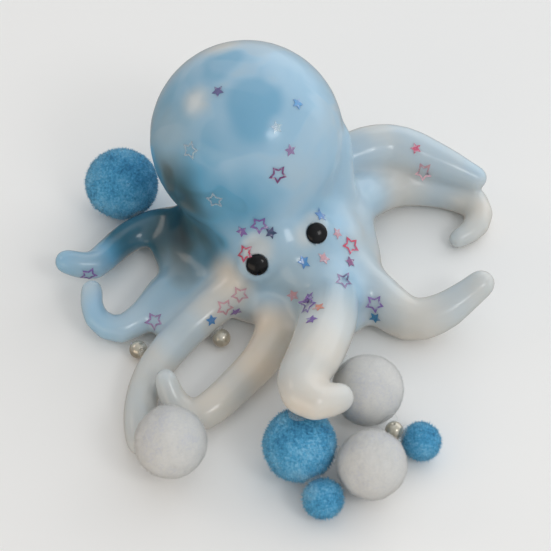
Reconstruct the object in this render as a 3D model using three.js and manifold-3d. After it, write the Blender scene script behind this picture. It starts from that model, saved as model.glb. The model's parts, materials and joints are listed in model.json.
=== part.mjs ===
// Octopus desk ornament: one glossy cast-resin octopus with inlaid star sequins and
// half-round bead eyes, with craft pom-poms and pearl beads glued around its arms.
// Millimetres, +Z up. The origin is the centre of the trunk's flat pour face, which rests
// on the table; the face looks towards -Y.
import * as THREE from 'three';
import { mergeVertices } from 'three/addons/utils/BufferGeometryUtils.js';
import Module from 'manifold-3d';

const wasm = await Module();
wasm.setup();

// ---------------------------------------------------------------- driving dimensions
const GAP = 0.3;                     // clearance between neighbouring pieces
const UP = new THREE.Vector3(0, 0, 1);

const ARM_SIDES = 12;                // facets around an arm
const ARM_STEP = 3.6;                // spacing of the rings along an arm
const TIP_RINGS = 3;                 // rings that round off an arm's tip

const MANTLE = { centre: [-1.5, 14.8, 36], radius: 24.6 };
const HEAD = { centre: [-1, -4.5, 17], radius: 14 };
const CHEEK = { centre: [7.5, -6, 12.5], radii: [15.5, 13.5, 12.5] };
const SHOULDER = { centre: [12, 4, 11], radii: [17, 16, 12] };
// The trunk's half section, from its middle just below the table up: radius and height.
const TRUNK = [[0, -1], [19, -1], [21, 4], [19, 9], [15, 14], [0, 19]];
const TRUNK_SIDES = 28;
const MANTLE_FACETS = [30, 20];
const ABOVE_TABLE = [200, 200, 100]; // larger than the whole ornament
const NECK = { centre: [4, 8, 20], radii: [20, 15, 15] };

// Each arm's spine from inside the trunk to the centre of its rounded tip: x, y, z, radius.
const ARMS = {
  left_rear: [
    [-3, 2, 12, 6], [-12, 10, 8.6, 6], [-18, 17.5, 6, 5.2], [-26, 21.8, 4.4, 4.4],
    [-34, 20.5, 4.1, 4], [-41, 16, 4.8, 3.7], [-46, 12.6, 6, 3.6], [-52, 14, 8.5, 3],
  ],
  left: [
    [-3, 0, 12, 5], [-12, 3.4, 9, 4.7], [-21, 3, 5, 4.7], [-30, -1.5, 4.4, 4.4],
    [-39, -7.3, 4, 3.9], [-45, -8.8, 4.2, 3.5], [-49, -5.8, 5.5, 3.1], [-49.8, -2, 7.6, 2.7],
    [-48.7, 1.5, 9.5, 2.6],
  ],
  left_front: [
    [-3, -4, 13, 5.2], [-11.3, -10.2, 11.6, 5.4], [-18.6, -11.4, 7.6, 5.1], [-27.2, -14.8, 5.4, 4.8],
    [-35, -19.6, 4.5, 4.5], [-42, -26, 4.3, 4.1], [-46, -32.3, 4, 3.9], [-48.4, -38, 3.8, 3.6],
    [-49.4, -42.8, 3.3, 3.3],
  ],
  front_left: [
    [-2, -8, 12, 5.2], [-5.5, -17, 9, 5.1], [-7.5, -23, 5.6, 5.1], [-13, -29.8, 4.9, 4.9],
    [-21, -35, 4.6, 4.4], [-30, -40, 4.6, 4.2], [-36, -41, 4.4, 3.9], [-38.5, -37.5, 6.4, 3.4],
    [-39.5, -34.5, 9.5, 2.8], [-39.5, -33, 11, 2.6],
  ],
  front: [
    [3, -8, 12, 7.2], [6.5, -18, 12.8, 7.2], [5.1, -27.6, 14.8, 7.2], [0.2, -36.9, 18.2, 7],
    [-6.4, -46, 21, 6.4], [-11.5, -51.5, 22.4, 5.6], [-13.8, -56, 23.4, 4.6],
    [-12, -59.5, 23.5, 4.1], [-8.7, -59.7, 22.5, 3.8], [-5, -58.7, 21, 3.5],
  ],
  right_front: [
    [4, -6, 13, 6.6], [11, -12, 12.5, 6.5], [18, -19.5, 8.4, 6.3], [21.6, -26.5, 6.3, 6],
    [26, -32.4, 5.7, 5.5], [33, -34, 7, 4.9], [39.5, -33.3, 9.5, 4], [44.8, -32.3, 12, 3.4],
  ],
  right: [
    [8, 0, 13, 6.4], [17, 2, 13, 6.2], [25, 5.4, 12, 6.8], [33, 10.6, 8.4, 6.9],
    [40, 12.2, 7, 6.6], [48, 9.6, 5.8, 5.7], [55, 4.6, 4.7, 4.6], [58.8, -0.5, 4.1, 4.1],
    [57.6, -5.4, 3.7, 3.6], [54, -8.2, 3.3, 3], [49.7, -9.4, 3, 2.3],
  ],
  right_rear: [
    [8, 8, 15, 6], [18, 15, 15, 5.8], [27, 17.4, 15.8, 6.2], [33.6, 17.9, 16.3, 6.6],
    [39.6, 17.5, 15.7, 6.5], [44.1, 15.2, 15.3, 6.2], [48.3, 12.2, 14.2, 5.6], [54.1, 7.6, 12.8, 4.4],
    [59.6, 2.9, 11.1, 3.1],
  ],
};

// Lobes of resin that fill the crotches between neighbouring arms, given as the arms are.
const WEBS = [
  [[-6, 6, 10, 8], [-15.5, 9.4, 7, 6.8], [-24.2, 10.6, 4.4, 4.5]],
  [[-12, -3, 7, 5], [-24, -5.5, 4.6, 4.6], [-33.5, -11, 3.8, 3.4]],
  [[-3, -8, 9, 6], [-9.5, -12.2, 4.6, 4.4]],
  [[0, -10, 10, 8], [-1, -19, 8, 7], [-0.6, -24.6, 6, 5]],
  [[5, -11, 9, 8], [9, -20, 7, 6.4], [11.4, -25.6, 5, 4.4]],
  [[8, -3, 10, 9], [15.5, -6, 9, 8.6], [21, -8.6, 6.8, 6.6]],
  [[12, 8, 10, 6.4], [26, 11.5, 7.5, 5], [33, 14.6, 5.8, 4.2], [40, 15.4, 5, 3.6]],
];
// The fold that runs down the right side of the mantle into the shoulder.
const FOLD = [[6, 10, 38, 8], [15.2, 8.6, 36, 8], [16.5, 6, 26, 7.5], [17, 2, 17, 7]];

const EYES = {
  eye_left: { centre: [-9.7, -15.6, 23], facing: [-0.25, -0.75, 0.61] },
  eye_right: { centre: [7, -13.2, 25.8], facing: [-0.05, -0.66, 0.75] },
};
const EYE_RADIUS = 2.7;
const EYE_DOME = 1.7;                // height of the half-round bead above its flat back
const EYE_MOUND_RADIUS = 5.2;
const EYE_MOUND_RISE = 0.9;          // how far the mound's top stands above the bead's back
const EYE_FACETS = 20;
const EYE_RINGS = 5;
const POCKET_HEIGHT = 8;             // cuts clear through the mound above the bead's back
const MOUND_FACETS = [20, 14];

// Pom-poms and pearls: centre and radius.
const POMPOMS = {
  pompom_blue_rear: { centre: [-31, 34.8, 10], radius: 9.8, colour: 0x3f7fa8 },
  pompom_white_left: { centre: [-43.9, -50.7, 11.3], radius: 8.7, colour: 0xd8d8d6 },
  pompom_blue_front: { centre: [-15.2, -60.6, 9.2], radius: 8.8, colour: 0x3f7fa8 },
  pompom_white_middle: { centre: [5.8, -51.5, 9.6], radius: 8.8, colour: 0xd8d8d6 },
  pompom_white_front: { centre: [-1.2, -71.4, 9], radius: 8.4, colour: 0xd0d6dc },
  pompom_blue_small_front: { centre: [-14.2, -73.9, 5], radius: 4.7, colour: 0x4f93bd },
  pompom_blue_small_right: { centre: [13.7, -67, 4.9], radius: 4.6, colour: 0x4f93bd },
};
const PEARLS = {
  pearl_left: { centre: [-41.8, -15.4, 2.5], radius: 2.3 },
  pearl_middle: { centre: [-20.8, -19.1, 2.5], radius: 2.3 },
  pearl_right: { centre: [8.3, -62.8, 6.5], radius: 2.2 },
};

// Star sequins, laid on the resin from the front and above: style, colour, a point near the
// surface, how far the star is turned in its plane in degrees, and the way it faces where it
// doesn't lie flat.
const LAID_FROM = [-0.22, -0.6, 0.77];
const DROP = 40;                     // how far outside the resin a sequin starts
const LIFT_STEP = 0.1;
const TOUCHING = 1e-6;               // the least shared volume that counts as touching
const STAR = {
  hollow: { radius: 2.45, waist: 0.56, hole: 0.66 },
  solid: { radius: 1.6, waist: 0.5, hole: 0 },
};
const SEQUIN_THICKNESS = 0.2;
const COLOURS = {
  violet: 0x6a62a8, sky: 0x4aa3d8, clear: 0xcfe4ea, pink: 0xf08fa8, magenta: 0xa34a96,
  purple: 0x8a5fb0, navy: 0x2c4a86, red: 0xd8435f, blue: 0x3f93d2, orange: 0xf09a78,
  teal: 0x2f86a8, rose: 0xb6589a,
};
const SEQUINS = [
  ['solid', 'violet', [-10, 10.5, 58.5], 10], ['solid', 'sky', [7.5, 3, 55.5], 40],
  ['solid', 'clear', [0.5, -1.5, 54], 0], ['hollow', 'clear', [-19.5, 4, 48], 20],
  ['solid', 'rose', [2.5, -5.5, 49.5], 5], ['hollow', 'magenta', [-1.5, -8, 45], 25],
  ['hollow', 'clear', [-16.5, -4.5, 38], 50], ['solid', 'purple', [-10, -7, 28.5], 0],
  ['hollow', 'purple', [-6.5, -8.5, 30.5], 15], ['solid', 'navy', [-4.5, -11.5, 28.5], 30],
  ['hollow', 'red', [-11.8, -12.6, 24.9], 0, [-0.49, -0.36, 0.79]],
  ['solid', 'blue', [9.5, -9.4, 27], 0, [0, -0.05, 1]],
  ['solid', 'pink', [14, -8.5, 17.5], 30], ['hollow', 'red', [16.5, -13, 17], 10, [-0.1, -0.5, 0.86]],
  ['solid', 'magenta', [14, -18, 16.5], 0], ['hollow', 'rose', [9, -27, 22], 20, [-0.1, -0.5, 0.86]],
  ['solid', 'blue', [1.5, -17, 22], 12], ['solid', 'pink', [6, -21, 23], 45],
  ['solid', 'pink', [-1.5, -19, 11.5], 0, [-0.2, -0.6, 0.77]],
  ['solid', 'purple', [-1, -29.5, 22.5], 20, [-0.5, -0.4, 0.77]],
  ['hollow', 'purple', [-2.5, -32.5, 23.5], 40, [-0.6, -0.3, 0.74]],
  ['solid', 'orange', [-1, -35.5, 25.5], 8],
  ['solid', 'purple', [-4, -38.5, 25.5], 33], ['hollow', 'purple', [17.5, -28, 10.5], 10],
  ['solid', 'teal', [17, -30, 7.5], 0], ['hollow', 'pink', [-13.5, -13, 10], 15],
  ['hollow', 'pink', [-18, -14, 8], 35], ['solid', 'blue', [-22.5, -16.5, 7.5], 0],
  ['solid', 'purple', [-15, -14, 5], 20], ['hollow', 'rose', [-35.5, -10, 5], 5],
  ['hollow', 'purple', [-47.5, 10, 6], 30], ['solid', 'red', [46, 14, 16], 0],
  ['hollow', 'pink', [46, 9, 10], 12, [0, -0.4, 0.92]],
];

// Clear glue dabs: which ball, and the arm or other ball that it is stuck to.
const GLUE = {
  glue_pompom_blue_rear: ['pompom_blue_rear', 'left_rear'],
  glue_pompom_white_left_inner: ['pompom_white_left', 'left_front'],
  glue_pompom_white_left_outer: ['pompom_white_left', 'front_left'],
  glue_pompom_blue_front: ['pompom_blue_front', 'front'],
  glue_pompom_white_middle: ['pompom_white_middle', 'front'],
  glue_pompom_white_front: ['pompom_white_front', 'pompom_blue_front'],
  glue_pompom_blue_small_front: ['pompom_blue_small_front', 'pompom_blue_front'],
  glue_pompom_blue_small_right: ['pompom_blue_small_right', 'pearl_right'],
  glue_pearl_left: ['pearl_left', 'left_front'],
  glue_pearl_middle: ['pearl_middle', 'left_front'],
  glue_pearl_right: ['pearl_right', 'pompom_white_middle'],
};
const GLUE_RADIUS = 2.3;
const GLUE_FACETS = [12, 8];
const NEAREST_STEPS = 200;           // places along an arm that are tried for the nearest

// ---------------------------------------------------------------- mesh helpers
const vector = (list) => new THREE.Vector3(...list);

// One closed triangle mesh: shared corners merged, slivers dropped, faces turned outwards.
function closedMesh(geometry) {
  geometry.deleteAttribute('normal');
  geometry.deleteAttribute('uv');
  const merged = mergeVertices(geometry, 1e-4);
  const corners = merged.index.array;
  const places = merged.attributes.position;
  const kept = [];
  let volume = 0;
  const [a, b, c] = [new THREE.Vector3(), new THREE.Vector3(), new THREE.Vector3()];
  for (let i = 0; i < corners.length; i += 3) {
    const [p, q, r] = corners.slice(i, i + 3);
    if (p === q || q === r || r === p) continue;
    kept.push([p, q, r]);
    a.fromBufferAttribute(places, p);
    b.fromBufferAttribute(places, q);
    c.fromBufferAttribute(places, r);
    volume += a.dot(b.cross(c));
  }
  const outward = volume > 0 ? kept : kept.map(([p, q, r]) => [p, r, q]);
  merged.setIndex(outward.flat());
  return merged;
}

function toSolid(geometry) {
  const closed = closedMesh(geometry);
  return new wasm.Manifold(new wasm.Mesh({
    numProp: 3,
    vertProperties: Float32Array.from(closed.attributes.position.array),
    triVerts: Uint32Array.from(closed.index.array),
  }));
}

function toGeometry(solid) {
  const mesh = solid.getMesh();
  const geometry = new THREE.BufferGeometry();
  geometry.setAttribute('position', new THREE.BufferAttribute(mesh.vertProperties, 3));
  geometry.setIndex(new THREE.BufferAttribute(mesh.triVerts, 1));
  return geometry;
}

function ellipsoid(centre, radii, around = 24, down = 16) {
  const geometry = new THREE.SphereGeometry(1, around, down);
  geometry.rotateX(Math.PI / 2);
  geometry.scale(...radii);
  geometry.translate(...centre);
  return geometry;
}

const ball = (centre, radius, around, down) =>
  ellipsoid(centre, [radius, radius, radius], around, down);

// ---------------------------------------------------------------- resin casting
// The smooth line and the smooth radius along a spine of [x, y, z, radius] points.
function spineCurves(spine) {
  const curve = new THREE.CatmullRomCurve3(spine.map(([x, y, z]) => new THREE.Vector3(x, y, z)));
  const girth = new THREE.SplineCurve(spine.map(([, , , radius], i) => new THREE.Vector2(i, radius)));
  return { curve, girth };
}

// A round bar that follows a spine and ends in a round tip.
function armGeometry(spine, grow = 0) {
  const { curve, girth } = spineCurves(spine);
  const length = curve.getLength();
  const tipRadius = spine.at(-1)[3] + grow;
  const rings = Math.round(length / ARM_STEP);
  const profile = [new THREE.Vector2(0, 0)];
  for (let i = 0; i <= rings; i += 1) {
    const radius = girth.getPoint(curve.getUtoTmapping(i / rings)).y + grow;
    profile.push(new THREE.Vector2(radius, (length * i) / rings));
  }
  for (let i = 1; i <= TIP_RINGS; i += 1) {
    const turn = (Math.PI / 2) * (i / TIP_RINGS);
    const radius = i === TIP_RINGS ? 0 : tipRadius * Math.cos(turn);
    profile.push(new THREE.Vector2(radius, length + tipRadius * Math.sin(turn)));
  }
  const bar = new THREE.LatheGeometry(profile, ARM_SIDES);
  return bendAlong(bar, curve, length, rings);
}

// Moves each ring of a bar that stands along Y onto the curve, square to it.
function bendAlong(bar, curve, length, rings) {
  const frames = curve.computeFrenetFrames(rings, false);
  const places = bar.attributes.position;
  for (let i = 0; i < places.count; i += 1) {
    const along = places.getY(i);
    const ring = Math.min(rings, Math.round((along / length) * rings));
    const point = curve.getPointAt(Math.min(1, along / length));
    point.addScaledVector(frames.normals[ring], places.getX(i));
    point.addScaledVector(frames.binormals[ring], places.getZ(i));
    point.addScaledVector(frames.tangents[ring], Math.max(0, along - length));
    places.setXYZ(i, point.x, point.y, point.z);
  }
  return bar;
}

function trunkGeometry() {
  const profile = TRUNK.map(([radius, height]) => new THREE.Vector2(radius, height));
  const geometry = new THREE.LatheGeometry(profile, TRUNK_SIDES);
  geometry.rotateX(Math.PI / 2);
  return geometry;
}

// Everything above the table, which is where the resin stopped at the mould's open face.
function aboveTable(solid) {
  const block = new THREE.BoxGeometry(...ABOVE_TABLE);
  block.translate(0, 0, ABOVE_TABLE[2] / 2);
  return solid.intersect(toSolid(block));
}

// The seat that an eye bead sits in: a shallow round pocket, square to the eye's axis.
function eyeSeat({ centre, facing }) {
  const radius = EYE_RADIUS + GAP;
  const pocket = new THREE.CylinderGeometry(radius, radius, POCKET_HEIGHT, EYE_FACETS);
  pocket.translate(0, POCKET_HEIGHT / 2 - GAP, 0);
  return place(pocket, centre, facing, new THREE.Vector3(0, 1, 0));
}

function place(geometry, centre, facing, from = UP) {
  const turn = new THREE.Quaternion().setFromUnitVectors(from, vector(facing).normalize());
  geometry.applyQuaternion(turn);
  geometry.translate(...centre);
  return geometry;
}

// The raised round of resin behind an eye bead.
function eyeMound({ centre, facing }) {
  const inwards = EYE_MOUND_RISE - EYE_MOUND_RADIUS;
  const middle = vector(centre).addScaledVector(vector(facing).normalize(), inwards);
  return ball(middle.toArray(), EYE_MOUND_RADIUS, ...MOUND_FACETS);
}

function castOctopus() {
  const lumps = [
    ball(MANTLE.centre, MANTLE.radius, ...MANTLE_FACETS),
    ball(HEAD.centre, HEAD.radius),
    ellipsoid(CHEEK.centre, CHEEK.radii),
    ellipsoid(SHOULDER.centre, SHOULDER.radii),
    ellipsoid(NECK.centre, NECK.radii),
    trunkGeometry(),
    ...[...Object.values(ARMS), ...WEBS, FOLD].map((spine) => armGeometry(spine)),
    ...Object.values(EYES).map(eyeMound),
  ];
  let solid = lumps.map(toSolid).reduce((sum, lump) => sum.add(lump));
  for (const eye of Object.values(EYES)) solid = solid.subtract(toSolid(eyeSeat(eye)));
  return aboveTable(solid);
}

// ---------------------------------------------------------------- added pieces
function eyeBead({ centre, facing }) {
  const profile = [new THREE.Vector2(0, 0)];
  for (let i = 0; i <= EYE_RINGS; i += 1) {
    const turn = (Math.PI / 2) * (i / EYE_RINGS);
    const radius = i === EYE_RINGS ? 0 : EYE_RADIUS * Math.cos(turn);
    profile.push(new THREE.Vector2(radius, EYE_DOME * Math.sin(turn)));
  }
  const dome = new THREE.LatheGeometry(profile, EYE_FACETS);
  return place(dome, centre, facing, new THREE.Vector3(0, 1, 0));
}

// A five-pointed star plate lying in the XY plane, centred on its thickness.
function starPlate({ radius, waist, hole }, thickness, grow = 0) {
  const outline = (reach) => {
    const corners = [];
    for (let i = 0; i < 10; i += 1) {
      const turn = (Math.PI * i) / 5 + Math.PI / 2;
      const length = reach * (i % 2 ? waist : 1);
      corners.push(new THREE.Vector2(length * Math.cos(turn), length * Math.sin(turn)));
    }
    return corners;
  };
  const shape = new THREE.Shape(outline(radius + grow));
  if (hole > 0) shape.holes.push(new THREE.Path(outline(radius * hole - grow)));
  const plate = new THREE.ExtrudeGeometry(shape, { depth: thickness, bevelEnabled: false });
  plate.translate(0, 0, -thickness / 2);
  return plate;
}

// Where a sequin lies: the resin's surface under it, and the average way it faces there.
function surfaceUnder(caster, body, point, reach) {
  const inwards = vector(LAID_FROM).normalize().negate();
  const side = new THREE.Vector3().crossVectors(inwards, UP).normalize();
  const over = new THREE.Vector3().crossVectors(side, inwards);
  const facing = new THREE.Vector3();
  let middle = vector(point);
  for (let i = 0; i <= 8; i += 1) {
    const away = i === 0 ? 0 : reach;
    const turn = (Math.PI * i) / 4;
    const start = vector(point).addScaledVector(inwards, -DROP);
    start.addScaledVector(side, away * Math.cos(turn)).addScaledVector(over, away * Math.sin(turn));
    caster.set(start, inwards);
    const [hit] = caster.intersectObject(body);
    if (!hit) continue;
    facing.add(hit.face.normal);
    if (i === 0) middle = hit.point;
  }
  return { middle, facing: facing.normalize() };
}

// Lays a sequin on the surface, lifting it until it keeps its gap to everything below it.
function laySequin(caster, body, taken, [style, , point, turn, leaning]) {
  const star = STAR[style];
  const under = surfaceUnder(caster, body, point, star.radius / 2);
  const facing = leaning ? vector(leaning).normalize() : under.facing;
  const put = (plate, lift) => {
    plate.rotateZ(THREE.MathUtils.degToRad(turn));
    const spot = under.middle.clone().addScaledVector(facing, lift);
    return place(plate, spot.toArray(), facing.toArray());
  };
  let lift = GAP + SEQUIN_THICKNESS;
  const touches = () => {
    const fat = toSolid(put(starPlate(star, SEQUIN_THICKNESS + GAP, GAP / 2), lift));
    return taken.some((solid) => fat.intersect(solid).volume() > TOUCHING);
  };
  while (touches()) lift += LIFT_STEP;
  return put(starPlate(star, SEQUIN_THICKNESS), lift);
}

// The nearest place on a ball or an arm to a point: where it is, and the thickness there.
function nearestOn(neighbour, point) {
  if (neighbour.centre) return { place: vector(neighbour.centre), radius: neighbour.radius };
  const { curve, girth } = spineCurves(neighbour);
  let best = { distance: Infinity };
  for (let i = 0; i <= NEAREST_STEPS; i += 1) {
    const spot = curve.getPoint(i / NEAREST_STEPS);
    const radius = girth.getPoint(i / NEAREST_STEPS).y;
    const distance = spot.distanceTo(point) - radius;
    if (distance < best.distance) best = { distance, place: spot, radius };
  }
  return best;
}

// A dab of glue in the pinch between a ball and what it is stuck to.
function glueDab(ballPiece, neighbour) {
  const centre = vector(ballPiece.centre);
  const near = nearestOn(neighbour, centre);
  const towards = near.place.clone().sub(centre);
  const space = towards.length() - near.radius - ballPiece.radius;
  const middle = centre.addScaledVector(towards.normalize(), ballPiece.radius + space / 2);
  const reach = GLUE_RADIUS + space / 4;
  let dab = toSolid(ball(middle.toArray(), reach, ...GLUE_FACETS));
  for (const grown of grownPieces) dab = dab.subtract(grown);
  grownPieces.push(toSolid(ball(middle.toArray(), reach + GAP, ...GLUE_FACETS)));
  const crumbs = dab.decompose();
  return toGeometry(crumbs.reduce((a, b) => (a.volume() > b.volume() ? a : b)));
}

// ---------------------------------------------------------------- assembly
const FINISH = {
  resin: { color: 0xa9c4d0, roughness: 0.15, metalness: 0 },
  bead: { color: 0x0a0a0c, roughness: 0.1, metalness: 0 },
  pearl: { color: 0xe6e0d4, roughness: 0.25, metalness: 0.1 },
  glue: { color: 0xdfe6e6, roughness: 0.2, metalness: 0 },
};
const POMPOM_FACETS = [16, 12];
const PEARL_FACETS = [12, 8];

const group = new THREE.Group();

function addPiece(name, geometry, finish) {
  const mesh = new THREE.Mesh(closedMesh(geometry), new THREE.MeshStandardMaterial(finish));
  mesh.name = name;
  group.add(mesh);
  return mesh;
}

const octopus = castOctopus();
const resinBody = addPiece('resin_body', toGeometry(octopus), FINISH.resin);
const taken = [octopus];

for (const [name, eye] of Object.entries(EYES)) {
  addPiece(name, eyeBead(eye), FINISH.bead);
  taken.push(toSolid(eyeBead(eye)));
}
for (const [name, { centre, radius, colour }] of Object.entries(POMPOMS)) {
  const finish = { color: colour, roughness: 1, metalness: 0 };
  addPiece(name, ball(centre, radius, ...POMPOM_FACETS), finish);
}
for (const [name, { centre, radius }] of Object.entries(PEARLS)) {
  addPiece(name, ball(centre, radius, ...PEARL_FACETS), FINISH.pearl);
}

const caster = new THREE.Raycaster();
SEQUINS.forEach((sequin, index) => {
  const [style, colour] = sequin;
  const plate = laySequin(caster, resinBody, taken, sequin);
  taken.push(toSolid(plate.clone()));
  const number = String(index + 1).padStart(2, '0');
  const finish = { color: COLOURS[colour], roughness: 0.3, metalness: 0.2 };
  addPiece(`star_${style}_${colour}_${number}`, plate, finish);
});

const grownPieces = [
  ...Object.values(POMPOMS).map(({ centre, radius }) => ball(centre, radius + GAP, ...POMPOM_FACETS)),
  ...Object.values(PEARLS).map(({ centre, radius }) => ball(centre, radius + GAP, ...PEARL_FACETS)),
  ...Object.values(ARMS).map((spine) => armGeometry(spine, GAP)),
].map(toSolid);
for (const [name, [piece, neighbour]] of Object.entries(GLUE)) {
  const balls = { ...POMPOMS, ...PEARLS };
  addPiece(name, glueDab(balls[piece], balls[neighbour] ?? ARMS[neighbour]), FINISH.glue);
}

export default group;
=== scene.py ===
"""Looks of the octopus desk ornament: a milky blue resin casting with bead eyes and star
sequins, and the pom-poms, pearls and glue around its arms."""

import json
import math

import bmesh
import bpy
import numpy as np
import openvdb
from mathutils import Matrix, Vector
from mathutils.bvhtree import BVHTree


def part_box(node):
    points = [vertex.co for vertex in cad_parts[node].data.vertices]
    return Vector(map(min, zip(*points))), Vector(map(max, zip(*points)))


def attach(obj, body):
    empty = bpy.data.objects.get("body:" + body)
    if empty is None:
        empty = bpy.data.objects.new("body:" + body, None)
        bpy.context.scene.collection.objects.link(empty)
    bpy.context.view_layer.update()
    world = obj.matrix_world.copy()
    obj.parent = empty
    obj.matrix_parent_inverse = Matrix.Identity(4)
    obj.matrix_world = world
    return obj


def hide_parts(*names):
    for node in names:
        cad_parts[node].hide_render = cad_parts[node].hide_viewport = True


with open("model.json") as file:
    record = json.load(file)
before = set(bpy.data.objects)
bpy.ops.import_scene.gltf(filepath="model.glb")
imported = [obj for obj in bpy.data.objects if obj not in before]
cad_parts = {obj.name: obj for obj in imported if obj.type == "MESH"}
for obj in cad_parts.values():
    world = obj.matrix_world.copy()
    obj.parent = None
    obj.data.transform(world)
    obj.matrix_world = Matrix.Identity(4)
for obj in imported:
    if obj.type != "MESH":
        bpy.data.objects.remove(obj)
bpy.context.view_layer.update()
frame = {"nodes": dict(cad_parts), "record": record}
MM = 0.001
TINY = 1e-9                 # keeps a division by a length from failing at zero
NODES = [part["node"] for part in frame["record"]["subparts"]]
SLOTS = {part["node"]: part["material_slot"] for part in frame["record"]["subparts"]}
scene = bpy.context.scene
random = np.random.default_rng(7)


def named(start):
    """The CAD nodes whose names start in this way."""
    return [node for node in NODES if node.startswith(start)]


EYES = named("eye_")
SAME_FACING = 0.999         # cosine of the angle between faces that count as one flat side

# ------------------------------------------------------------------ driving values
BODY_VOXEL = 0.6 * MM       # grid spacing of the resin body's surface
BODY_BLUR = 1.15 * MM       # how far the casting's edges are rounded
BODY_SWELL = 0.2 * MM       # makes up for the CAD arms' flat facets
NARROW_FILLET = 3.2 * MM    # radius of the hollows in the crotches of the arms
WIDE_FILLET = 9 * MM        # radius of the hollows between mantle, head and arm roots
WEB_CENTRE_Y = -2 * MM      # the hollows are measured from an upright axis at this y
WEB_REACH = (28 * MM, 42 * MM)   # distance from that axis over which the hollows fade out
# Where the hollows are wide: centre in millimetres, and the radii between which they fade.
WIDE_HOLLOWS = [
    ((-2, 8, 24), 16, 26), ((-22, 5, 9), 12, 20), ((9, -12, 16), 12, 19), ((24, -13, 9), 9, 15),
]
# Where one arm lies on another and the hollow between them stays a crease.
CREASES = [((29, 12.5, 13), 6, 10), ((37, 12.5, 13), 8, 13), ((46, 10, 12), 8, 13)]
# Where a sharp bend of an arm is rounded further: centre in millimetres, inner and outer radius.
ROUNDED_BENDS = [((-13, -55, 23), 5, 10)]
BEND_BLUR = 1.9 * MM        # how far those bends are rounded
EYE_CLEAR = (5.2 * MM, 8.5 * MM)  # distance from an eye over which the wide hollows begin
EYE_RIM = 0.22 * MM         # how far the resin stays clear of an eye bead all round
# Where the poured resin is levelled smooth: centre in millimetres, inner and outer radius.
LEVELLED = [((-23, 9, 8), 7, 12), ((-18, 2, 9), 4, 8), ((24, -13, 9), 5, 10), ((8, -17, 19), 5, 10)]
LEVELLING_STEPS = 60        # passes of smoothing
BODY_MARGIN = 3 * MM        # room for the distance field around the casting


# ------------------------------------------------------------------ mesh helpers
def add_object(name, mesh, material, smooth=True):
    """A new object with one material, in the scene's own collection."""
    piece = bpy.data.objects.new(name, mesh)
    scene.collection.objects.link(piece)
    mesh.materials.append(material)
    if smooth:
        mesh.shade_smooth()
    return piece


def finish_piece(piece, *nodes):
    """The piece stands for these CAD nodes: it hangs from the root body, and the nodes are hidden.
    """
    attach(piece, "root")
    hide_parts(*nodes)


def mesh_from(name, points, faces):
    mesh = bpy.data.meshes.new(name)
    mesh.from_pydata([tuple(p) for p in points], [], [tuple(f) for f in faces])
    mesh.update()
    return mesh


def cad_arrays(node):
    """The CAD node's corners and triangles as arrays."""
    mesh = frame["nodes"][node].data
    mesh.calc_loop_triangles()
    points = np.empty(len(mesh.vertices) * 3, dtype=np.float32)
    mesh.vertices.foreach_get("co", points)
    triangles = np.empty(len(mesh.loop_triangles) * 3, dtype=np.int32)
    mesh.loop_triangles.foreach_get("vertices", triangles)
    return points.reshape(-1, 3), triangles.reshape(-1, 3)


def centre_of(node):
    low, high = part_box(node)
    return (Vector(low) + Vector(high)) / 2


# ------------------------------------------------------------------ distance fields
class Field:
    """A signed distance field sampled on a regular grid around some points."""

    def __init__(self, points, voxel, margin):
        self.voxel = voxel
        self.low = np.floor((points.min(axis=0) - margin) / voxel).astype(int)
        high = np.ceil((points.max(axis=0) + margin) / voxel).astype(int)
        self.shape = tuple(high - self.low + 1)

    def transform(self):
        return openvdb.createLinearTransform(voxelSize=self.voxel)

    def distances(self, points, reach, triangles=None, quads=None):
        """Distance to a closed surface, negative inside, known up to reach on each side."""
        faces = {"triangles": triangles} if quads is None else {"quads": quads}
        grid = openvdb.FloatGrid.createLevelSetFromPolygons(
            points, transform=self.transform(), halfWidth=reach / self.voxel, **faces
        )
        values = np.empty(self.shape, dtype=np.float32)
        grid.copyToArray(values, ijk=tuple(int(i) for i in self.low))
        return values

    def surface(self, values, level=0.0):
        """Corners and quads of the surface where the field has that value."""
        grid = openvdb.FloatGrid(float(values.max()))
        grid.copyFromArray(values, ijk=tuple(int(i) for i in self.low))
        grid.transform = self.transform()
        points, quads = grid.convertToQuads(isovalue=level)
        return points, quads

    def axes(self):
        """The grid's x, y and z in metres, ready to broadcast."""
        lines = [(self.low[k] + np.arange(self.shape[k])) * self.voxel for k in range(3)]
        return np.ix_(*lines)


def blurred(values, sigma):
    """Gaussian blur of a 3-D array, sigma in grid steps."""
    radius = int(math.ceil(3 * sigma))
    weights = np.exp(-0.5 * (np.arange(-radius, radius + 1) / sigma) ** 2)
    weights /= weights.sum()
    for axis in range(3):
        padding = [(radius, radius) if k == axis else (0, 0) for k in range(3)]
        padded = np.pad(values, padding, mode="edge")
        size = values.shape[axis]
        total = np.zeros_like(values)
        for step, weight in enumerate(weights):
            part = [slice(None)] * 3
            part[axis] = slice(step, step + size)
            total += np.float32(weight) * padded[tuple(part)]
        values = total
    return values


def softened(values, sigma):
    """A blur that rounds edges without shrinking round bars."""
    once = blurred(values, sigma)
    return 2 * once - blurred(once, sigma)


def smoothstep(low, high, x):
    t = np.clip((x - low) / (high - low), 0, 1)
    return t * t * (3 - 2 * t)


def clean_quads(name, points, quads):
    """A mesh of the quads with its faces turned outwards."""
    mesh = mesh_from(name, points, quads)
    shape = bmesh.new()
    shape.from_mesh(mesh)
    bmesh.ops.recalc_face_normals(shape, faces=shape.faces)
    shape.to_mesh(mesh)
    shape.free()
    return mesh


# ------------------------------------------------------------------ node helpers
def new_material(name):
    material = bpy.data.materials.new(name)
    material.use_nodes = True
    tree = material.node_tree
    return material, tree, tree.nodes["Principled BSDF"]


def add_node(tree, kind, **values):
    """A shader node with its named settings and sockets set."""
    node = tree.nodes.new(kind)
    for key, value in values.items():
        if key in node.inputs:
            node.inputs[key].default_value = value
        else:
            setattr(node, key, value)
    return node


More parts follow.
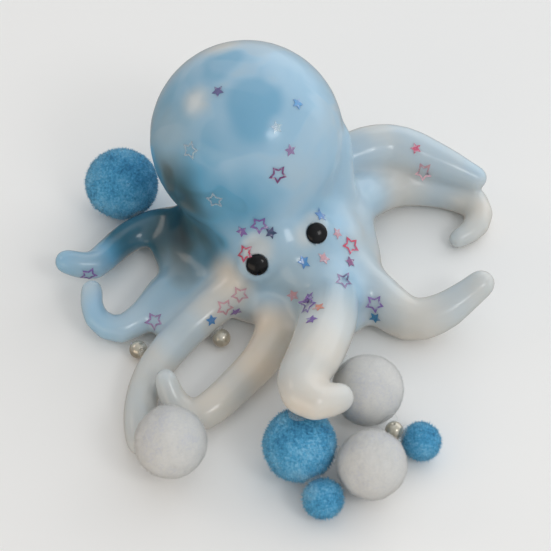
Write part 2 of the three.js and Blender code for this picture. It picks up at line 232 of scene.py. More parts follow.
def ramp(tree, fac, stops):
    """A colour ramp over fac; stops are (position, (r, g, b))."""
    node = tree.nodes.new("ShaderNodeValToRGB")
    elements = node.color_ramp.elements
    while len(elements) < len(stops):
        elements.new(0.5)
    for element, (position, colour) in zip(elements, stops):
        element.position = position
        element.color = (*colour, 1)
    tree.links.new(fac, node.inputs["Fac"])
    return node.outputs["Color"]


def noise_texture(tree, scale, detail=3.0, roughness=0.5, distortion=0.0):
    """Noise over the object's own coordinates; scale is in cells per metre."""
    where = tree.nodes.new("ShaderNodeTexCoord")
    texture = add_node(
        tree, "ShaderNodeTexNoise",
        Scale=scale, Detail=detail, Roughness=roughness, Distortion=distortion,
    )
    tree.links.new(where.outputs["Object"], texture.inputs["Vector"])
    return texture


def multiply_add(tree, value, factor, offset):
    """value * factor + offset, where each may be a number or a socket."""
    node = add_node(tree, "ShaderNodeMath", operation="MULTIPLY_ADD")
    for socket, given in zip(node.inputs, (value, factor, offset)):
        if isinstance(given, (int, float)):
            socket.default_value = given
        else:
            tree.links.new(given, socket)
    return node.outputs[0]


def add_bump(tree, shader, height, strength, distance):
    bump = add_node(tree, "ShaderNodeBump", Strength=strength, Distance=distance)
    tree.links.new(height, bump.inputs["Height"])
    tree.links.new(bump.outputs["Normal"], shader.inputs["Normal"])


# ------------------------------------------------------------------ resin body
def filled_hollows(field, points, triangles, plain, radius):
    """The field with every hollow tighter than the radius filled by a ball of that radius."""
    reach = radius + 3 * BODY_VOXEL
    roomy_field = Field(points, BODY_VOXEL, reach)
    distances = roomy_field.distances(points, reach, triangles=triangles)
    swollen_points, swollen_quads = roomy_field.surface(distances, radius)
    shrunk_back = field.distances(swollen_points, reach, quads=swollen_quads)
    return np.minimum(shrunk_back + np.float32(radius), plain)


def from_point(field, point):
    """Distance of each grid point from a point in metres."""
    return np.sqrt(sum((line - c) ** 2 for line, c in zip(field.axes(), point)))


def nearness(field, place):
    """1 at the grid points within a place's inner radius, fading to 0 at its outer radius."""
    centre, inner, outer = place
    return 1 - smoothstep(inner * MM, outer * MM, from_point(field, Vector(centre) * MM))


def body_mesh():
    """The casting with soft webs between its arms and every edge rounded by the mould."""
    points, triangles = cad_arrays("resin_body")
    field = Field(points, BODY_VOXEL, BODY_MARGIN)
    plain = field.distances(points, WIDE_FILLET, triangles=triangles)
    narrow = filled_hollows(field, points, triangles, plain, NARROW_FILLET)
    wide = filled_hollows(field, points, triangles, plain, WIDE_FILLET)
    share = np.zeros(field.shape, dtype=np.float32)
    for place in WIDE_HOLLOWS:
        share = np.maximum(share, nearness(field, place))
    for eye in EYES:
        share = share * smoothstep(*EYE_CLEAR, from_point(field, centre_of(eye)))
    x, y, _ = field.axes()
    webbed = 1 - smoothstep(*WEB_REACH, np.sqrt(x * x + (y - WEB_CENTRE_Y) ** 2))
    for place in CREASES:
        webbed = webbed * (1 - nearness(field, place))
    filled = narrow + share * (wide - narrow)
    sharp = (plain + webbed * (filled - plain)).astype(np.float32)
    values = softened(sharp, BODY_BLUR / BODY_VOXEL)
    rounder = softened(sharp, BEND_BLUR / BODY_VOXEL)
    for place in ROUNDED_BENDS:
        values += (nearness(field, place) * (rounder - values)).astype(np.float32)
    values -= np.float32(BODY_SWELL)
    points, quads = field.surface(values)
    points = levelled(points.astype(float), quads)
    for eye in EYES:
        points = cleared_round(points, eye)
    points[:, 2] = np.maximum(points[:, 2], 0)
    return clean_quads("resin_body_visual", points, quads)


def levelled(points, quads):
    """The points with small lumps smoothed away around each levelled place."""
    share = np.zeros(len(points))
    for centre, inner, outer in LEVELLED:
        away = np.linalg.norm(points / MM - centre, axis=1)
        share = np.maximum(share, 1 - smoothstep(inner, outer, away))
    starts = quads.ravel()
    ends = np.roll(quads, -1, axis=1).ravel()
    links = np.bincount(starts, minlength=len(points)) + np.bincount(ends, minlength=len(points))
    for _ in range(LEVELLING_STEPS):
        middles = np.empty_like(points)
        for axis in range(3):
            line = points[:, axis]
            total = np.bincount(starts, line[ends], len(points))
            total += np.bincount(ends, line[starts], len(points))
            middles[:, axis] = total / links
        points = points + share[:, None] * (middles - points)
    return points


def cleared_round(points, eye):
    """The points with those that would cover an eye bead moved out to just beside it."""
    middle, facing, rim = node_axes(eye)
    middle, facing = np.array(middle), np.array(facing)
    radius = np.linalg.norm(rim - middle, axis=1).max() + EYE_RIM
    height = (points - middle) @ facing
    across = points - middle - height[:, None] * facing
    away = np.linalg.norm(across, axis=1)
    covering = (height > -EYE_RIM) & (height < 2 * radius) & (away < radius)
    stretch = np.where(covering, radius / np.maximum(away, TINY), 1)
    return points + across * (stretch - 1)[:, None]


# Where each tone of resin was poured: centre and radius in millimetres, how blue it is, from
# milky white 0 to the deepest painted shade 1, and the share of the radius within which it is
# full. A later pour covers an earlier one. The pours are partly the resin's own blue and partly
# painted shade: the darkest ones, on the mantle's left side, in the hollow under the mantle, at
# the roots of the left arms and in the crotches between the front arms, are painted shade.
BLUE_AND_SHADE_POURS = [
    ((-1.5, 14.8, 40), 50, 0.60, 0.1), ((14, 20, 58), 28, 0.40, 0.1), ((19, 2, 40), 24, 0.40, 0.1),
    # Painted shade: the first pour on the next line darkens the mantle's left side.
    ((-28, 4, 34), 30, 0.92, 0.1), ((-11, -8, 38), 15, 0.72, 0.1), ((-24, 16, 52), 13, 0.70, 0.1),
    ((-2.7, 4.6, 58.4), 8.5, 0.59, 0.6), ((-5, 0, 56), 8, 0.60, 0.3),
    ((-5.4, 19.8, 59.8), 7, 0.60, 0.5), ((-9, 16, 59.5), 5, 0.60, 0.3),
    ((0.3, 14, 61), 5, 0.44, 0.2), ((4.3, 10.5, 59.5), 4.6, 0.38, 0.2),
    ((8, 5.5, 56.5), 4, 0.40, 0.2), ((1.2, -1.3, 54.4), 3.8, 0.38, 0.1),
    ((13.8, -2, 45.4), 9, 0.38, 0.1), ((16, 2, 28), 10, 0.36, 0.1),
    ((8, -2, 25), 18, 0.44, 0.1), ((0, -14, 18), 20, 0.62, 0.1),
    # Painted shade: the first pour on the next line darkens the left arms' roots under the mantle.
    ((-22, 16, 7), 30, 0.95, 0.1), ((-38, 20, 4), 20, 0.82, 0.1), ((-50, 13, 7), 15, 0.56, 0.1),
    ((-14, 2, 9), 20, 0.90, 0.2), ((-24, -2, 6), 15, 0.86, 0.1), ((-34, -5, 5), 15, 0.66, 0.1),
    ((-46, -6, 5), 16, 0.50, 0.1), ((-17, -13, 9), 11, 0.28, 0.1), ((-7, -14.5, 8), 8, 0.66, 0.1),
    ((-31, -18, 8), 12, 0.56, 0.1), ((-9, -24, 8), 11, 0.12, 0.1), ((3, -31, 20), 24, 0.60, 0.1),
    ((9, -24, 18), 12, 0.40, 0.1), ((28, 8, 10), 26, 0.32, 0.1), ((48, 14, 10), 24, 0.16, 0.1),
    ((60, 4, 11), 10, 0.24, 0.1), ((14, -16, 12), 12, 0.34, 0.1), ((22, -26, 6), 14, 0.14, 0.1),
    # Painted shade: the pours on the next two lines darken the hollow under the mantle and beside
    # the left eye.
    ((-16, 11, 12), 11, 1.0, 0.4), ((-12, 5, 13), 7, 1.0, 0.3), ((-10.5, -0.5, 15), 6, 0.92, 0.3),
    ((-15.5, -4, 11), 5, 0.84, 0.2), ((-12, -3, 21), 5.5, 0.90, 0.2), ((-8, -3, 24), 4, 0.75, 0.1),
]
# Painted warm light, as cream patches: warm light reflected from the room below onto the arms'
# sides and the eye mounds, and a warm highlight on the mantle; given in the same way, with how much
# of it there is.
WARM_LIGHT_POURS = [
    # Painted highlight: the second pour on the next line is the mantle's warm glow.
    ((-23, 12, 48), 14, 0.24, 0.1), ((-15.5, 11.9, 56), 6, 0.40, 0.1),
    ((-3.7, 26.6, 57.5), 7, 0.45, 0.1), ((0, -16, 20), 16, 0.26, 0.1),
    ((-15, -10, 13), 10, 0.80, 0.2), ((-22, -12, 8), 11, 0.50, 0.1), ((-31, -18, 8), 12, 0.42, 0.2),
    ((-34, -3, 5), 19, 0.24, 0.3), ((-15, 6, 12), 11, 0.03, 0.4),
    ((-9.5, -26, 7), 11, 1.0, 0.2), ((-16, -33, 6), 12, 0.90, 0.1), ((-30, -40, 6), 12, 0.50, 0.1),
    ((-2, -38, 20), 22, 0.56, 0.2), ((-12, -38, 14), 9, 0.80, 0.1), ((-12, -58, 20), 11, 0.80, 0.3),
    ((26, -32, 6), 14, 0.55, 0.1), ((40, 11, 8), 16, 0.50, 0.1), ((57, -2, 5), 12, 0.40, 0.1),
    ((-38, -8, 5), 14, 0.22, 0.1), ((-48, 12, 7), 10, 0.22, 0.1),
    ((3.5, -13, 26), 5, 0.50, 0.1), ((-9, -13.5, 26), 6, 0.45, 0.3), ((7, -12, 27), 5, 0.30, 0.4),
]
MILK = (0.60, 0.61, 0.59)
PALE_BLUE = (0.35, 0.55, 0.70)
DEEP_BLUE = (0.135, 0.39, 0.58)
# Painted shade: the deep teal below is partly the resin's own deep blue and partly painted shade;
# the tone after it is painted shade alone.
SHADED_TEAL = (0.035, 0.11, 0.145)
PAINTED_DEEP_SHADE = (0.006, 0.035, 0.05)
# Colour of the painted warm light.
WARM_LIGHT_TONE = (0.84, 0.71, 0.56)
CLOUD_DEPTH = 0.36          # how far the clouds shift the tone, from the palest to the darkest
VEIL_HEIGHTS = (30, 44)     # millimetres over which the pale veils of the mantle come in
VEIL_DEPTH = 0.09           # how much paler the tone is in a veil
VEIL_SHADES = [(0.47, (0, 0, 0)), (0.53, (0.8, 0.8, 0.8)), (0.72, (1, 1, 1))]


def poured(points, pours):
    """How much of a tone there is at each point after all its pours, points in millimetres."""
    share = np.zeros(len(points))
    for centre, radius, amount, full in pours:
        away = np.linalg.norm(points - centre, axis=1)
        share += (amount - share) * (1 - smoothstep(full * radius, radius, away))
    return share


def store_shade(mesh, name, values):
    layer = mesh.attributes.new(name, "FLOAT", "POINT")
    layer.data.foreach_set("value", values.astype(np.float32))


def paint_resin(mesh):
    """Stores, at each point, how blue the resin is with its painted shade, how much painted warm
    light it has, and how veiled it is, for the material.
    """
    points = np.empty(len(mesh.vertices) * 3)
    mesh.vertices.foreach_get("co", points)
    points = points.reshape(-1, 3) / MM
    # The blue values hold the resin's own blue and, in the darkest pours, painted shade.
    store_shade(mesh, "blue", poured(points, BLUE_AND_SHADE_POURS))
    store_shade(mesh, "painted_warm_light", poured(points, WARM_LIGHT_POURS))
    store_shade(mesh, "veil", smoothstep(*VEIL_HEIGHTS, points[:, 2]))


def resin_colour(tree):
    """The pours' tones and painted shade, drifting in soft clouds, with sharper pale veils in the
    mantle and the painted warm light mixed over them.
    """
    blue, painted_warm_light, veiled = (
        add_node(tree, "ShaderNodeAttribute", attribute_name=name).outputs["Fac"]
        for name in ("blue", "painted_warm_light", "veil")
    )
    cloud = noise_texture(tree, 38, detail=2.5, roughness=0.45, distortion=0.8)
    veil = noise_texture(tree, 45, detail=1.5, roughness=0.4, distortion=1.6)
    veil_edge = ramp(tree, veil.outputs["Fac"], VEIL_SHADES)
    blue_and_shade = multiply_add(tree, cloud.outputs["Fac"], CLOUD_DEPTH, blue)
    blue_and_shade = multiply_add(tree, blue_and_shade, 1.0, -CLOUD_DEPTH / 2)
    paler = multiply_add(tree, veil_edge, veiled, 0.0)
    blue_and_shade = multiply_add(tree, paler, -VEIL_DEPTH, blue_and_shade)
    # The two darkest stops are painted shade.
    tones = ramp(tree, blue_and_shade, [
        (0.0, MILK), (0.38, PALE_BLUE), (0.68, DEEP_BLUE), (0.90, SHADED_TEAL), (1.0, PAINTED_DEEP_SHADE),
    ])
    # Painted warm light is mixed over the tones.
    mixed = add_node(tree, "ShaderNodeMixRGB", Color2=(*WARM_LIGHT_TONE, 1))
    tree.links.new(painted_warm_light, mixed.inputs["Fac"])
    tree.links.new(tones, mixed.inputs["Color1"])
    return mixed.outputs["Color"]


def resin_material():
    material, tree, shader = new_material("resin with painted shade and light")
    tree.links.new(resin_colour(tree), shader.inputs["Base Color"])
    shader.inputs["Roughness"].default_value = 0.35
    shader.inputs["IOR"].default_value = 1.5
    shader.inputs["Specular IOR Level"].default_value = 0.25
    shader.inputs["Subsurface Weight"].default_value = 0.6
    shader.inputs["Subsurface Radius"].default_value = (0.8, 0.9, 1.0)
    shader.inputs["Subsurface Scale"].default_value = 5 * MM
    shader.inputs["Coat Weight"].default_value = 0.8
    shader.inputs["Coat Roughness"].default_value = 0.15
    ripple = noise_texture(tree, 160, detail=1.5)
    add_bump(tree, shader, ripple.outputs["Fac"], 0.08, 0.4 * MM)
    return material


def add_resin_body():
    mesh = body_mesh()
    paint_resin(mesh)
    body = add_object("octopus_casting", mesh, resin_material())
    finish_piece(body, "resin_body")
    return body


# ------------------------------------------------------------------ eye beads
EYE_DOME = 1.2 * MM         # height of the bead above its back
EYE_EDGE = 0.12 * MM        # height of its upright rim
EYE_BACK = (0.9, 0.1 * MM)  # share of the radius, and depth, of the bevel behind the rim
EYE_ROWS = 11
EYE_FLAT = 0.3              # how much of a row is left out on top, where the bead is flat


def eye_material():
    material, tree, shader = new_material("eye black")
    specks = noise_texture(tree, 900, detail=2)
    colour = ramp(tree, specks.outputs["Fac"], [
        (0.3, (0.002, 0.002, 0.0025)), (0.8, (0.007, 0.007, 0.008)),
    ])
    tree.links.new(colour, shader.inputs["Base Color"])
    shader.inputs["Roughness"].default_value = 0.16
    shader.inputs["Specular IOR Level"].default_value = 0.25
    return material


def node_axes(node):
    """The middle of a flat-backed CAD piece's back, the way its front looks, and the corners
    of the back's triangles."""
    points, triangles = cad_arrays(node)
    corners = points[triangles].astype(float)
    areas = np.cross(corners[:, 1] - corners[:, 0], corners[:, 2] - corners[:, 0])
    sizes = np.linalg.norm(areas, axis=1)
    facings = areas / sizes[:, None]
    alike = facings @ facings.T > SAME_FACING
    flat = max(range(len(sizes)), key=lambda i: sizes[alike[i]].sum())
    back = alike[flat]
    middle = np.average(corners[back].mean(axis=1), axis=0, weights=sizes[back])
    return Vector(middle), -Vector(facings[flat]), corners[back].reshape(-1, 3)


def lathe_mesh(name, profile, middle, facing, around=48):
    """A profile of (radius, height) spun about the axis through middle."""
    turn = Vector((0, 0, 1)).rotation_difference(facing).to_matrix()
    points = []
    for radius, height in profile:
        for i in range(around):
            angle = 2 * math.pi * i / around
            corner = Vector((radius * math.cos(angle), radius * math.sin(angle), height))
            points.append(middle + turn @ corner)
    faces = []
    for row in range(len(profile) - 1):
        for i in range(around):
            j = (i + 1) % around
            a, b = row * around, (row + 1) * around
            faces.append((a + i, a + j, b + j, b + i))
    faces.append(tuple(reversed(range(around))))
    last = (len(profile) - 1) * around
    faces.append(tuple(last + i for i in range(around)))
    return mesh_from(name, points, faces)


def eye_profile(radius):
    """Half section of a half-round bead: a bevelled back, a low rim and a dome."""
    share, depth = EYE_BACK
    profile = [(radius * share, -depth), (radius, EYE_EDGE)]
    for i in range(1, EYE_ROWS + 1):
        angle = math.pi / 2 * i / (EYE_ROWS + EYE_FLAT)
        height = EYE_EDGE + (EYE_DOME - EYE_EDGE) * math.sin(angle)
        profile.append((radius * math.cos(angle), height))
    return profile


def add_eyes():
    material = eye_material()
    beads = []
    for node in EYES:
        middle, facing, rim = node_axes(node)
        radius = max((Vector(p) - middle).length for p in rim)
        mesh = lathe_mesh(node, eye_profile(radius), middle, facing)
        eye = add_object(node + "_bead", mesh, material)
        finish_piece(eye, node)
        beads.append(eye)
    return beads


# ------------------------------------------------------------------ pom-poms
# Dark, middle and light tone of the fibres, by material slot.
FIBRE_COLOURS = {
    "pompom_blue": ((0.02, 0.16, 0.35), (0.10, 0.43, 0.70), (0.36, 0.71, 0.94)),
    "pompom_white": ((0.66, 0.67, 0.71), (0.74, 0.74, 0.72), (0.80, 0.79, 0.76)),
}
FIBRES_PER_MM2 = 8
# Lumps are waves of (frequency over the ball, height as a share of its radius). Lengths and
# widths of the fibres are in millimetres; lean and grain are the spread of their directions
# and of their shading.
FLUFF = {
    "pompom_blue": {"lumps": [(3, 0.012), (9, 0.008), (22, 0.006)], "length": (0.45, 0.85),
                    "lean": 0.25, "width": 0.10, "grain": 0.35},
    "pompom_white": {"lumps": [(3, 0.012), (7, 0.006)], "length": (0.35, 0.60),
                     "lean": 0.15, "width": 0.12, "grain": 0.06},
}
LUMP_WAVES = 6              # waves of each frequency
LUMP_SUM = 2.4              # about what that many waves add up to
CORE_SHARE = 0.965          # radius of the core, as a share of the ball's
ROOT_SHARE = 0.95           # radius at which the fibres start
TUFT_SCATTER = 0.6          # how uneven the fibres' spacing is
FIBRE_CORNERS = 4           # three at the root and one at the tip


def fibre_material(name, dark, middle, light):
    material, tree, shader = new_material(name)
    clump = noise_texture(tree, 1500, detail=3, roughness=0.6)
    patch = noise_texture(tree, 150, detail=3, roughness=0.55)
    clumps = multiply_add(tree, clump.outputs["Fac"], 0.5, 0.0)
    shade = multiply_add(tree, patch.outputs["Fac"], 0.55, clumps)
    colour = ramp(tree, shade, [(0.34, dark), (0.52, middle), (0.72, light)])
    tree.links.new(colour, shader.inputs["Base Color"])
    shader.inputs["Roughness"].default_value = 0.95
    shader.inputs["Sheen Weight"].default_value = 0.9
    shader.inputs["Sheen Roughness"].default_value = 0.4
    shader.inputs["Sheen Tint"].default_value = (*light, 1)
    return material


def fibonacci_sphere(count):
    """Evenly spread directions."""
    turns = np.arange(count) + 0.5
    height = 1 - 2 * turns / count
    angle = math.pi * (1 + math.sqrt(5)) * turns
    ring = np.sqrt(1 - height * height)
    return np.stack([ring * np.cos(angle), ring * np.sin(angle), height], axis=1)


def lumpy(directions, waves):
    """A smooth random height over the sphere: sums of plane waves."""
    total = np.zeros(len(directions))
    for frequency, strength in waves:
        for _ in range(LUMP_WAVES):
            axis = random.normal(size=3)
            axis *= frequency / np.linalg.norm(axis)
            phase = random.uniform(0, 2 * math.pi)
            total += strength / LUMP_SUM * np.sin(directions @ axis + phase)
    return total


def closed_spikes(root, tip, width):
    """Thin three-sided fibres with closed ends, as points and triangles."""
    count = len(root)
    along = tip - root
    along /= np.linalg.norm(along, axis=1, keepdims=True)
    side = np.cross(along, random.normal(size=root.shape))
    side /= np.linalg.norm(side, axis=1, keepdims=True)
    other = np.cross(along, side)
    corners = []
    for turn in (0, 2 * math.pi / 3, 4 * math.pi / 3):
        corners.append(root + width * (math.cos(turn) * side + math.sin(turn) * other))
    points = np.stack(corners + [tip], axis=1).reshape(-1, 3)
    first = FIBRE_CORNERS * np.arange(count)[:, None]
    sides = np.array([(0, 1, 3), (1, 2, 3), (2, 0, 3), (0, 2, 1)])
    triangles = (first[:, :, None] + sides[None]).reshape(-1, 3)
    return points, triangles


def pompom_mesh(name, centre, radius, fluff):
    """A ball of trimmed fibre: a lumpy core under a coat of short tapered fibres."""
    core = bmesh.new()
    bmesh.ops.create_icosphere(core, subdivisions=5, radius=1.0)
    core.verts.ensure_lookup_table()
    directions = np.array([v.co.normalized() for v in core.verts])
    faces = np.array([[v.index for v in f.verts] for f in core.faces])
    core.free()
    fibres = int(FIBRES_PER_MM2 * 4 * math.pi * (radius / MM) ** 2)
    tufts = fibonacci_sphere(fibres)
    tufts += random.normal(scale=TUFT_SCATTER / math.sqrt(fibres), size=tufts.shape)
    tufts /= np.linalg.norm(tufts, axis=1, keepdims=True)
    heights = lumpy(np.concatenate([directions, tufts]), fluff["lumps"])
    core_heights, tuft_heights = heights[: len(directions)], heights[len(directions):]
    core_points = directions * (radius * (CORE_SHARE + core_heights))[:, None]
    root = tufts * (radius * (ROOT_SHARE + tuft_heights))[:, None]
    length = random.uniform(*fluff["length"], size=(fibres, 1)) * MM
    lean = random.normal(scale=fluff["lean"], size=tufts.shape)
    points, triangles = closed_spikes(root, root + (tufts + lean) * length, fluff["width"] * MM)
    mesh = mesh_from(
        name, np.concatenate([core_points, points]) + np.array(centre),
        np.concatenate([faces, triangles + len(core_points)]),
    )
    tilt = random.normal(scale=fluff["grain"], size=tufts.shape)
    normals = np.concatenate([directions, np.repeat(tufts + tilt, FIBRE_CORNERS, axis=0)])
    normals /= np.linalg.norm(normals, axis=1, keepdims=True)
    mesh.shade_smooth()
    mesh.normals_split_custom_set_from_vertices(normals.tolist())
    return mesh


def add_pompoms():
    materials = {slot: fibre_material(slot, *colours) for slot, colours in FIBRE_COLOURS.items()}
    for node in named("pompom_"):
        low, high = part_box(node)
        radius = (high[0] - low[0]) / 2
        mesh = pompom_mesh(node + "_fibre", centre_of(node), radius, FLUFF[SLOTS[node]])
        ball = add_object(node + "_ball", mesh, materials[SLOTS[node]], smooth=False)
        finish_piece(ball, node)


# ------------------------------------------------------------------ pearl beads
PEARL_MOUTH = 0.35 * MM     # radius of the hole where it breaks the surface
PEARL_BORE = 0.3 * MM       # radius of the hole further in
PEARL_BORE_DEPTH = 0.5 * MM
PEARL_ROWS = 28
PEARL_UPWARD = 0.4          # how far the hole's random direction is turned upwards


def pearl_material():
    material, tree, shader = new_material("pearl")
    bands = noise_texture(tree, 420, detail=2, distortion=1.5)
    colour = ramp(tree, bands.outputs["Fac"], [
        (0.3, (0.50, 0.46, 0.36)), (0.7, (0.66, 0.62, 0.52)),
    ])
    tree.links.new(colour, shader.inputs["Base Color"])
    shader.inputs["Roughness"].default_value = 0.28
    shader.inputs["Metallic"].default_value = 0.6
    shader.inputs["Coat Weight"].default_value = 1.0
    shader.inputs["Coat Roughness"].default_value = 0.08
    shader.inputs["Thin Film Thickness"].default_value = 320
    shader.inputs["Thin Film IOR"].default_value = 1.45
    return material


def pearl_profile(radius):
    """Half section of a drilled bead, from inside the lower end of its hole to the upper."""
    opening = math.asin(PEARL_MOUTH / radius)
    outside = []
    for i in range(PEARL_ROWS + 1):
        angle = opening + (math.pi - 2 * opening) * i / PEARL_ROWS
        outside.append((radius * math.sin(angle), -radius * math.cos(angle)))
    lower = (PEARL_BORE, outside[0][1] + PEARL_BORE_DEPTH)
    upper = (PEARL_BORE, outside[-1][1] - PEARL_BORE_DEPTH)
    return [lower, *outside, upper]


def add_pearls():
    material = pearl_material()
    for node in named("pearl_"):
        low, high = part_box(node)
        radius = (high[2] - low[2]) / 2
        axis = Vector((random.normal(), random.normal(), PEARL_UPWARD)).normalized()
        mesh = lathe_mesh(node, pearl_profile(radius), centre_of(node), axis)
        bead = add_object(node + "_bead", mesh, material)
        finish_piece(bead, node)


# ------------------------------------------------------------------ star sequins
# Red, green and blue as on a screen, 0 to 255, and how opaque the film is.
SEQUIN_FILMS = {
    "violet": ((112, 112, 160), 0.8), "sky": ((96, 170, 222), 0.85),
    "clear": ((214, 232, 234), 0.3), "pink": ((236, 184, 188), 0.6),
    "magenta": ((136, 66, 122), 0.8), "purple": ((154, 118, 190), 0.7),
    "navy": ((38, 64, 98), 0.95), "red": ((222, 78, 104), 0.85), "blue": ((70, 142, 200), 0.85),
    "orange": ((240, 160, 126), 0.85), "teal": ((50, 138, 178), 0.9),
    "rose": ((176, 138, 186), 0.5),
}
# Colours of the painted iridescent sheen and painted glints that the film drifts towards, and how
# far it drifts.
SEQUIN_SHEEN = (0.35, 0.25, 0.55)
SHEEN_SHARE = 0.22
SEQUIN_GLINT = (0.80, 0.84, 0.92)
GLINT_SHARE = 0.55
SEQUIN_THICKNESS = 0.12 * MM
SEQUIN_LIFT = 0.05 * MM     # gap between the film and what it lies on
SEQUIN_BEND = 4.5 * MM      # the furthest that the film bends out of its plane
FRONT_FACING = 0.99         # cosine of the angle within which a CAD face is the film's front


def from_screen(colour):
    """Linear red, green and blue of a colour given as on a screen."""
    return tuple(
        c / 255 / 12.92 if c <= 10 else ((c / 255 + 0.055) / 1.055) ** 2.4 for c in colour
    )


def blended(colour, other, share):
    return tuple(c + share * (d - c) for c, d in zip(colour, other))


def sequin_material(name, screen_colour, opacity):
    """Iridescent film: its colour drifts a little over each star, with a painted pearly sheen and
    painted glints.
    """
    material, tree, shader = new_material("sequin " + name)
    colour = from_screen(screen_colour)
    drift = noise_texture(tree, 900, detail=1, distortion=0.6)
    painted_sheen = blended(colour, SEQUIN_SHEEN, SHEEN_SHARE)
    glint = blended(colour, SEQUIN_GLINT, GLINT_SHARE)
    mixed = ramp(tree, drift.outputs["Fac"], [(0.36, colour), (0.56, painted_sheen), (0.68, glint)])
    tree.links.new(mixed, shader.inputs["Base Color"])
    shader.inputs["Alpha"].default_value = opacity
    shader.inputs["Metallic"].default_value = 0.15
    shader.inputs["Roughness"].default_value = 0.3
    shader.inputs["Coat Weight"].default_value = 0.6
    shader.inputs["Coat Roughness"].default_value = 0.08
    return material


def add_sequins(body, eyes):
    """Each sequin is the CAD star's outline, refined and pressed down onto what it lies on."""
    points = []
    faces = []
    for piece in [body, *eyes]:
        first = len(points)
        points += [vert.co.copy() for vert in piece.data.vertices]
        faces += [tuple(first + i for i in face.vertices) for face in piece.data.polygons]
    surface = BVHTree.FromPolygons(points, faces)
    materials = {}
    for node in named("star_"):
        colour = SLOTS[node].removeprefix("sequin_")
        if colour not in materials:
            materials[colour] = sequin_material(colour, *SEQUIN_FILMS[colour])
        mesh = pressed_star(node, surface)
        star = add_object(node + "_film", mesh, materials[colour], smooth=False)
        finish_piece(star, node)


def pressed_star(node, surface):
    """The front of the CAD star, cut finer, laid along its own axis onto what is under it."""
    points, triangles = cad_arrays(node)
    middle, facing, _ = node_axes(node)
    _, normal, _, _ = surface.find_nearest(middle)
    outwards = facing if facing.dot(normal) > 0 else -facing
    shape = bmesh.new()
    verts = [shape.verts.new(p) for p in points]
    for corners in triangles:
        a, b, c = (Vector(points[i]) for i in corners)
        if (b - a).cross(c - a).normalized().dot(outwards) > FRONT_FACING:
            shape.faces.new([verts[i] for i in corners])
    bmesh.ops.delete(shape, geom=[v for v in shape.verts if not v.link_faces], context="VERTS")
    bmesh.ops.subdivide_edges(shape, edges=shape.edges, cuts=2, use_grid_fill=True)
    for vert in shape.verts:
        vert.co += outwards * pressed_height(vert.co, outwards, surface)
    result = bmesh.ops.extrude_face_region(shape, geom=shape.faces[:])
    for vert in [v for v in result["geom"] if isinstance(v, bmesh.types.BMVert)]:
        vert.co += outwards * SEQUIN_THICKNESS
    bmesh.ops.recalc_face_normals(shape, faces=shape.faces)
    mesh = bpy.data.meshes.new(node)
    shape.to_mesh(mesh)
    shape.free()
    return mesh


def pressed_height(point, outwards, surface):
    """How far a point of the flat star moves along its axis to lie just above the surface.
    A point with nothing near it on that line moves back by half of the bend."""
    start = point + outwards * SEQUIN_BEND
    hit, _, _, away = surface.ray_cast(start, -outwards, 2 * SEQUIN_BEND)
    if hit is None:
        return -SEQUIN_BEND / 2
    return SEQUIN_BEND - away + SEQUIN_LIFT


# ------------------------------------------------------------------ glue
GLUE_VOXEL = 0.12 * MM      # grid spacing of a dab's surface
GLUE_BLUR = 0.12 * MM       # how far a dab is rounded
GLUE_REACH = 5 * GLUE_VOXEL
GLUE_MARGIN = 1 * MM


def glue_material():
    material, tree, shader = new_material("clear glue")
    haze = noise_texture(tree, 300, detail=2)
    colour = ramp(tree, haze.outputs["Fac"], [
        (0.3, (0.80, 0.84, 0.86)), (0.7, (0.90, 0.92, 0.92)),
    ])
    tree.links.new(colour, shader.inputs["Base Color"])
    shader.inputs["Roughness"].default_value = 0.4
    shader.inputs["Specular IOR Level"].default_value = 0.15
    shader.inputs["Alpha"].default_value = 0.1
    shader.inputs["IOR"].default_value = 1.45
    return material


def add_glue():
    material = glue_material()
    for node in named("glue_"):
        points, triangles = cad_arrays(node)
        field = Field(points, GLUE_VOXEL, GLUE_MARGIN)
        values = field.distances(points, GLUE_REACH, triangles=triangles)
        values = blurred(values, GLUE_BLUR / GLUE_VOXEL)
        points, quads = field.surface(values)
        dab = add_object(node + "_dab", clean_quads(node, points, quads), material)
        finish_piece(dab, node)


# ------------------------------------------------------------------ stage
CAMERA_AZIMUTH = math.radians(-20)
CAMERA_ELEVATION = math.radians(50)
CAMERA_DISTANCE = 400 * MM
CAMERA_TARGET = Vector((0, -2.3, 0)) * MM
CAMERA_LENS = 98            # focal length and sensor width are in millimetres
CAMERA_SENSOR = 36
CAMERA_CLIP = 10 * MM
FLOOR_HALF = 3              # metres
FLOOR_DROP = 0.05 * MM      # keeps the floor from touching the ornament's flat base
WORLD_REACH = 0.6           # how high and how low a direction's z is where the bands end
# From below, at 0, through the horizon, at 0.5, to high in the sky, at 1.
WORLD_BANDS = [
    (0.0, (0.40, 0.35, 0.30)), (0.36, (0.56, 0.52, 0.47)),
    (0.46, (0.92, 0.92, 0.92)), (1.0, (0.96, 0.98, 1.0)),
]
# From the left, at 0, to the right, at 1.
WORLD_SIDES = [
    (0.0, (0.38, 0.37, 0.36)), (0.35, (0.66, 0.66, 0.66)), (0.55, (0.95, 0.96, 0.97)),
    (1.0, (1.0, 1.0, 1.0)),
]
WORLD_STRENGTH = 0.84
LIGHT_TARGET = (0, 0, 0.03)
# Name, place and size in metres, power in watts, and colour.
AREA_LIGHTS = [
    ("wall_right", (0.60, 0.30, 0.34), (0.9, 0.6), 1.3, (0.96, 0.98, 1.0)),
    ("window", (0.19, -0.43, 0.46), (0.16, 0.14), 0.4, (1.0, 1.0, 1.0)),
    ("lamp", (-0.42, 0.31, 0.38), (0.20, 0.16), 0.2, (1.0, 0.87, 0.76)),
    ("low_warm", (-0.50, -0.34, 0.16), (0.6, 0.28), 0.65, (1.0, 0.83, 0.66)),
]


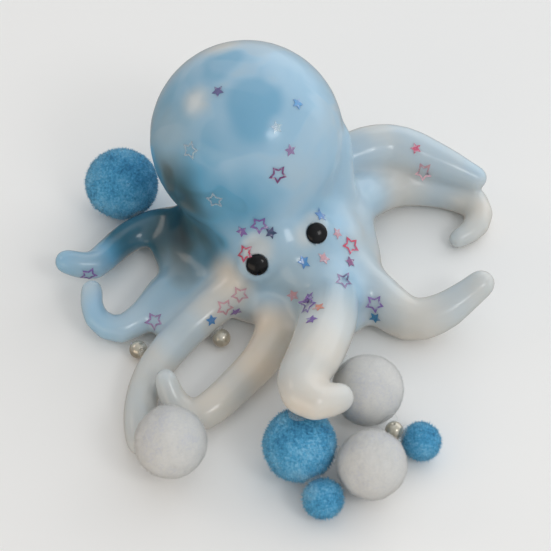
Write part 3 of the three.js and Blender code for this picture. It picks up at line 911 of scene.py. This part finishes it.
def add_camera():
    towards = Vector((
        math.sin(CAMERA_AZIMUTH) * math.cos(CAMERA_ELEVATION),
        -math.cos(CAMERA_AZIMUTH) * math.cos(CAMERA_ELEVATION),
        math.sin(CAMERA_ELEVATION),
    ))
    data = bpy.data.cameras.new("camera")
    data.lens = CAMERA_LENS
    data.sensor_width = CAMERA_SENSOR
    data.clip_start = CAMERA_CLIP
    camera = bpy.data.objects.new("camera", data)
    camera.location = CAMERA_TARGET + towards * CAMERA_DISTANCE
    camera.rotation_euler = towards.to_track_quat("Z", "Y").to_euler()
    scene.collection.objects.link(camera)
    scene.camera = camera


def add_area_light(name, place, size, power, colour):
    data = bpy.data.lights.new(name, "AREA")
    data.shape = "RECTANGLE"
    data.size, data.size_y = size
    data.energy = power
    data.color = colour
    light = bpy.data.objects.new(name, data)
    light.location = Vector(place)
    back = Vector(place) - Vector(LIGHT_TARGET)
    light.rotation_euler = back.to_track_quat("Z", "Y").to_euler()
    scene.collection.objects.link(light)


def add_floor():
    """A plain pale floor that the ornament stands on. The gloss doesn't mirror it."""
    corners = [(x * FLOOR_HALF, y * FLOOR_HALF, 0) for x, y in ((-1, -1), (1, -1), (1, 1), (-1, 1))]
    mesh = mesh_from("floor", corners, [(0, 1, 2, 3)])
    material, tree, shader = new_material("floor")
    shader.inputs["Base Color"].default_value = (0.95, 0.94, 0.92, 1)
    shader.inputs["Roughness"].default_value = 0.9
    shader.inputs["Specular IOR Level"].default_value = 0.0
    floor = add_object("floor", mesh, material, smooth=False)
    floor.location.z = -FLOOR_DROP
    floor.visible_glossy = False


def add_world():
    """Even daylight from above, and the warm tone of a wooden room from below."""
    world = bpy.data.worlds.new("studio")
    world.use_nodes = True
    tree = world.node_tree
    background = tree.nodes["Background"]
    where = tree.nodes.new("ShaderNodeTexCoord")
    parts = tree.nodes.new("ShaderNodeSeparateXYZ")
    height = add_node(tree, "ShaderNodeMapRange")
    height.inputs["From Min"].default_value = -WORLD_REACH
    height.inputs["From Max"].default_value = WORLD_REACH
    tree.links.new(where.outputs["Generated"], parts.inputs["Vector"])
    tree.links.new(parts.outputs["Z"], height.inputs["Value"])
    across = add_node(tree, "ShaderNodeMapRange")
    across.inputs["From Min"].default_value = -1
    tree.links.new(parts.outputs["X"], across.inputs["Value"])
    both = add_node(tree, "ShaderNodeVectorMath", operation="MULTIPLY")
    tree.links.new(ramp(tree, height.outputs["Result"], WORLD_BANDS), both.inputs[0])
    tree.links.new(ramp(tree, across.outputs["Result"], WORLD_SIDES), both.inputs[1])
    tree.links.new(both.outputs[0], background.inputs["Color"])
    background.inputs["Strength"].default_value = WORLD_STRENGTH
    scene.world = world


def add_stage():
    add_floor()
    add_world()
    for light in AREA_LIGHTS:
        add_area_light(*light)
    scene.view_settings.view_transform = "Standard"


# ------------------------------------------------------------------ making
add_camera()
add_stage()
octopus = add_resin_body()
beads = add_eyes()
add_pompoms()
add_pearls()
add_sequins(octopus, beads)
add_glue()
